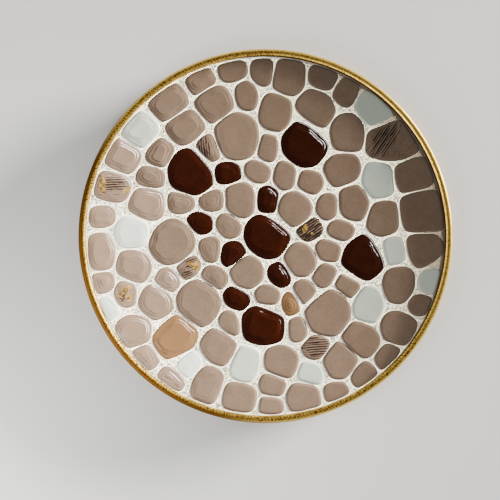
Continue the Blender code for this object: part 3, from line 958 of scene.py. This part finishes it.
def link_light(light, pieces, state):
    """Keeps a light off some pieces (EXCLUDE), or off all the others (INCLUDE)."""
    chosen = bpy.data.collections.new(light.name + " pieces")
    for piece in pieces:
        chosen.objects.link(piece)
    light.light_linking.receiver_collection = chosen
    for entry in chosen.collection_objects:
        entry.light_linking.link_state = state


def add_floor(colour_values):
    """A wide pale floor under the dish."""
    half = FLOOR_SIZE / 2
    corners = [(-half, -half, 0), (half, -half, 0), (half, half, 0), (-half, half, 0)]
    mesh = bpy.data.meshes.new("studio_floor")
    mesh.from_pydata(corners, [], [(0, 1, 2, 3)])
    material, tree, shader = new_material("pale_floor")
    shader.inputs["Base Color"].default_value = rgba(colour_values)
    shader.inputs["Roughness"].default_value = 0.8
    mesh.materials.append(material)
    floor = bpy.data.objects.new("studio_floor", mesh)
    bpy.context.scene.collection.objects.link(floor)


def add_lights(look):
    """Low light from the right on everything but the tray, one like it on the tray alone, a soft fill, and
    narrow lights for the glints of the dark and the left tiles and for the grain of the grout."""
    tray = [bpy.data.objects["knurled_tray"]]
    grout = [bpy.data.objects["rough_grout"]]
    dark = [bpy.data.objects[tile.name] for tile in TILES if tile.glaze in ("brown", "tan")]
    left = [bpy.data.objects[tile.name] for tile in TILES if tile.middle @ LEFTWARDS > LEFT_FROM]
    flat = LOW_DISTANCE * math.cos(look.key_elevation)
    low_place = (flat * math.cos(look.key_azimuth), flat * math.sin(look.key_azimuth),
                 LOW_DISTANCE * math.sin(look.key_elevation))
    key = add_area_light("key", low_place, MIDDLE, look.key_power, 2.4, 0.45, (1.0, 0.96, 0.90))
    link_light(key, tray, "EXCLUDE")
    rim = add_area_light("rim", low_place, MIDDLE, look.rim_power, 4.2, 2.2, (1.0, 0.94, 0.80))
    link_light(rim, tray, "INCLUDE")
    add_area_light("fill", FILL_PLACE, FILL_TARGET, look.fill_power, 0.3, 0.3, (1.0, 0.98, 0.95))
    strip = add_area_light("strip", STRIP_PLACE, MIDDLE, look.strip_power, 1.2, 0.10, (1.0, 1.0, 1.0))
    link_light(strip, dark, "INCLUDE")
    gleam = add_area_light("gleam", GLEAM_PLACE, GLEAM_TARGET, look.gleam_power, 1.0, 0.22, (1.0, 1.0, 1.0))
    link_light(gleam, left, "INCLUDE")
    window = add_area_light("window", WINDOW_PLACE, WINDOW_TARGET, look.window_power, 0.4, 0.2,
                            (1.0, 0.97, 0.78), WINDOW_SPREAD)
    link_light(window, grout, "INCLUDE")


def add_world(strength):
    """Light from all round that is dark overhead and brightest half way up."""
    world = bpy.data.worlds.new("studio")
    world.use_nodes = True
    tree = world.node_tree
    direction = add_node(tree, "ShaderNodeTexCoord").outputs["Generated"]
    up = add_node(tree, "ShaderNodeSeparateXYZ", {"Vector": direction}).outputs["Z"]
    level = map_range(tree, up, 0.55, 0.93, strength, strength * 0.04)
    background = tree.nodes["Background"]
    background.inputs["Color"].default_value = (0.93, 0.96, 1.0, 1)
    tree.links.new(level, background.inputs["Strength"])
    bpy.context.scene.world = world


def add_camera(rim_depth):
    """The camera looks straight down; the photograph's scale is taken where the rim is widest."""
    data = bpy.data.cameras.new("camera")
    data.sensor_width = 36.0
    data.lens = data.sensor_width * FOCAL_PIXELS / FRAME_PIXELS
    camera = bpy.data.objects.new("camera", data)
    metres_per_pixel = (CAMERA_HEIGHT - DISH_HEIGHT + rim_depth / 2) / FOCAL_PIXELS
    camera.location = ((FRAME_PIXELS / 2 - DISH_MIDDLE_X) * metres_per_pixel,
                       (DISH_MIDDLE_Y - FRAME_PIXELS / 2) * metres_per_pixel, CAMERA_HEIGHT)
    bpy.context.scene.collection.objects.link(camera)
    bpy.context.scene.camera = camera


class MOSAIC_OT_add_stage(bpy.types.Operator):
    """Adds the pale floor, the soft lights and the camera"""
    bl_idname = "mosaic.add_stage"
    bl_label = "Add Stage"

    def execute(self, context):
        look = context.scene.mosaic_stage
        add_floor(look.floor)
        add_lights(look)
        add_world(look.world)
        add_camera(context.scene.mosaic_tray.rim_depth)
        return {"FINISHED"}


class MOSAIC_PT_panel(bpy.types.Panel):
    """Lists the dish's sizes, colours and pieces"""
    bl_idname = "MOSAIC_PT_panel"
    bl_label = "Mosaic Dish"
    bl_space_type = "VIEW_3D"
    bl_region_type = "UI"
    bl_category = "Mosaic"

    def draw(self, context):
        for pointer, operator in zip(LOOKS, OPERATORS):
            box = self.layout.box()
            look = getattr(context.scene, pointer)
            for name in LOOKS[pointer].__annotations__:
                box.prop(look, name)
            box.operator(operator.bl_idname)


LOOKS = {
    "mosaic_tray": TrayLook,
    "mosaic_grout": GroutLook,
    "mosaic_tiles": TileLook,
    "mosaic_stage": StageLook,
}
OPERATORS = [MOSAIC_OT_add_tray, MOSAIC_OT_add_grout, MOSAIC_OT_add_tiles, MOSAIC_OT_add_stage]


def register():
    for cls in [*LOOKS.values(), *OPERATORS, MOSAIC_PT_panel]:
        bpy.utils.register_class(cls)
    for pointer, look in LOOKS.items():
        setattr(bpy.types.Scene, pointer, PointerProperty(type=look))


def unregister():
    for pointer in LOOKS:
        delattr(bpy.types.Scene, pointer)
    for cls in reversed([*LOOKS.values(), *OPERATORS, MOSAIC_PT_panel]):
        bpy.utils.unregister_class(cls)


def main():
    register()
    bpy.ops.mosaic.add_tray()
    bpy.ops.mosaic.add_grout()
    bpy.ops.mosaic.add_tiles()
    bpy.ops.mosaic.add_stage()


if __name__ == "__main__":
    main()
